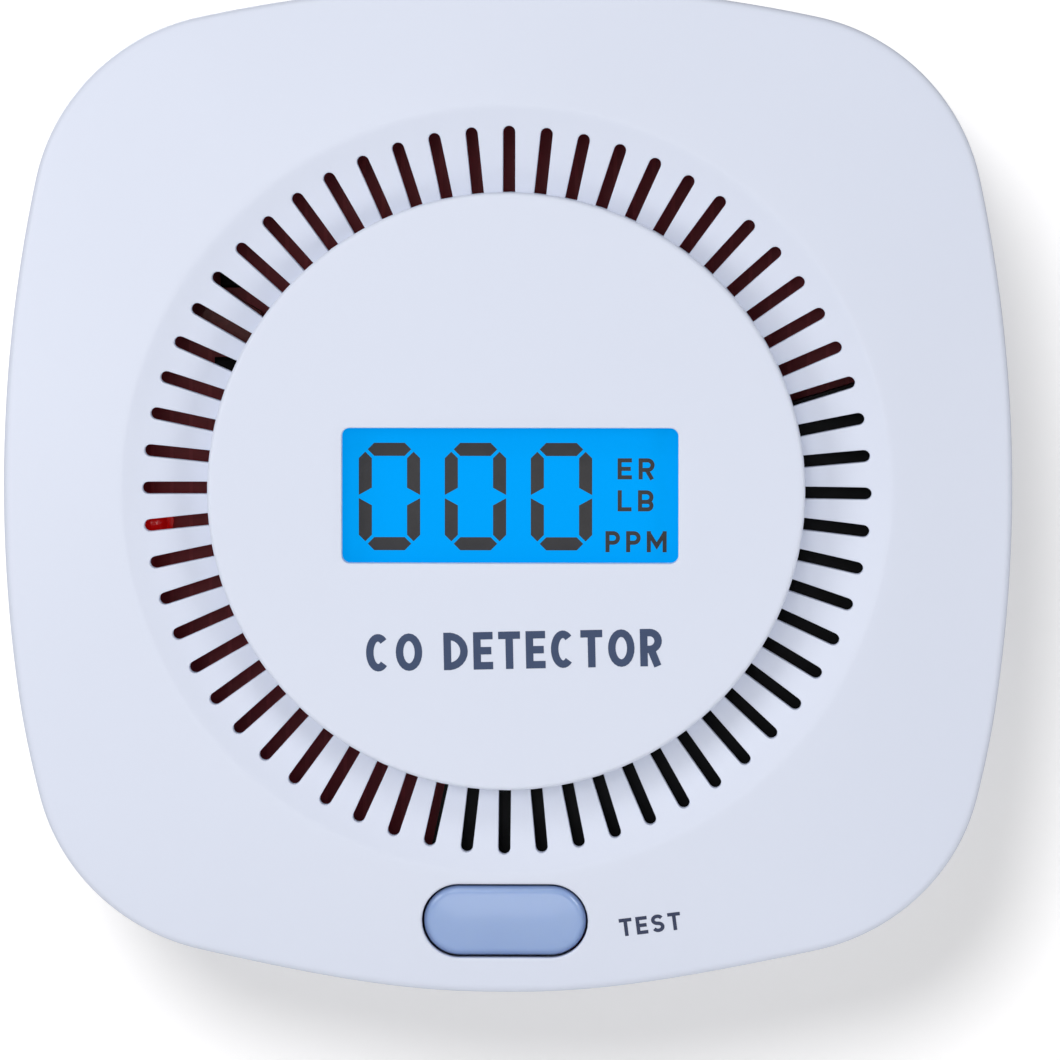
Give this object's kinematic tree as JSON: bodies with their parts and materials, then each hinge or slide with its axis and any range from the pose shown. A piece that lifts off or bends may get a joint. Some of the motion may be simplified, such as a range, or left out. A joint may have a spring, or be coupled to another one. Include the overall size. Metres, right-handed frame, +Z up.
{
  "type": "carbon monoxide detector",
  "caption": "Square pillow-faced wall carbon monoxide alarm with a ring of air slots, a lit digital display, a test button and a twist-off mounting plate.",
  "frame": {"origin": "centre of the flat back of the mounting plate, where it meets the wall", "axes": "+X to the right seen from the front, +Y into the wall, +Z up the wall; the face looks along -Y"},
  "size_m": [0.1, 0.036, 0.1],
  "materials": {
    "case_white": "fine satin",
    "plate_white": "fine satin",
    "button_frost": "frosted, slightly translucent",
    "lcd_glass": "clear over a lit blue ground",
    "lcd_backlight": "lit light guide",
    "board_red": "solder mask",
    "black_plastic": "moulded",
    "steel": "plated",
    "aluminium_can": "drawn",
    "sensor_filter": "sintered mesh",
    "brass": "rolled",
    "led_red": "diffused lens",
    "cell_jacket": "printed film jacket",
    "wire_red": "insulation",
    "wire_black": "insulation",
    "label_silver": "silver film"
  },
  "bodies": {
    "wall_plate": {"wall_plate": "plate_white"},
    "housing": {"alarm_led": "led_red", "battery_lower": "cell_jacket", "battery_spring_lower": "steel", "battery_spring_upper": "steel", "battery_upper": "cell_jacket", "capacitor": "aluminium_can", "case_screw_1": "steel", "case_screw_2": "steel", "case_screw_3": "steel", "case_screw_4": "steel", "co_sensor_can": "steel", "co_sensor_filter": "sensor_filter", "contact_bridge": "steel", "contact_negative": "steel", "contact_positive": "steel", "front_cover": "case_white", "inductor": "black_plastic", "lcd_backlight": "lcd_backlight", "lcd_glass": "lcd_glass", "lcd_holder": "black_plastic", "lcd_pins": "steel", "main_pcb": "board_red", "mcu_chip": "black_plastic", "pcb_screw_1": "steel", "pcb_screw_2": "steel", "pcb_screw_3": "steel", "pcb_screw_4": "steel", "piezo_disc": "brass", "rating_label": "label_silver", "rear_cover": "case_white", "sound_chamber": "black_plastic", "switch_body": "black_plastic", "wire_black": "wire_black", "wire_red": "wire_red"},
    "battery_door": {"battery_door": "case_white"},
    "test_button": {"test_button": "button_frost"},
    "switch_plunger": {"switch_plunger": "black_plastic"}
  },
  "joints": [
    {"name": "housing_twist", "type": "hinge", "parent": "wall_plate", "child": "housing", "pos_m": [0, 0, 0], "axis": [0, -1, 0], "range_deg": [0, 15]},
    {"name": "door_slide", "type": "slide", "parent": "housing", "child": "battery_door", "axis": [1, 0, 0], "range_m": [0, 0.004]},
    {"name": "button_press", "type": "slide", "parent": "housing", "child": "test_button", "axis": [0, 1, 0], "range_m": [0, 0.001], "stiffness_N_per_m": 1500},
    {"name": "plunger_press", "type": "slide", "parent": "housing", "child": "switch_plunger", "axis": [0, 1, 0], "range_m": [0, 0.001]}
  ],
  "couplings": [
    {"joint": "plunger_press", "follows": "button_press", "ratio": 1}
  ]
}
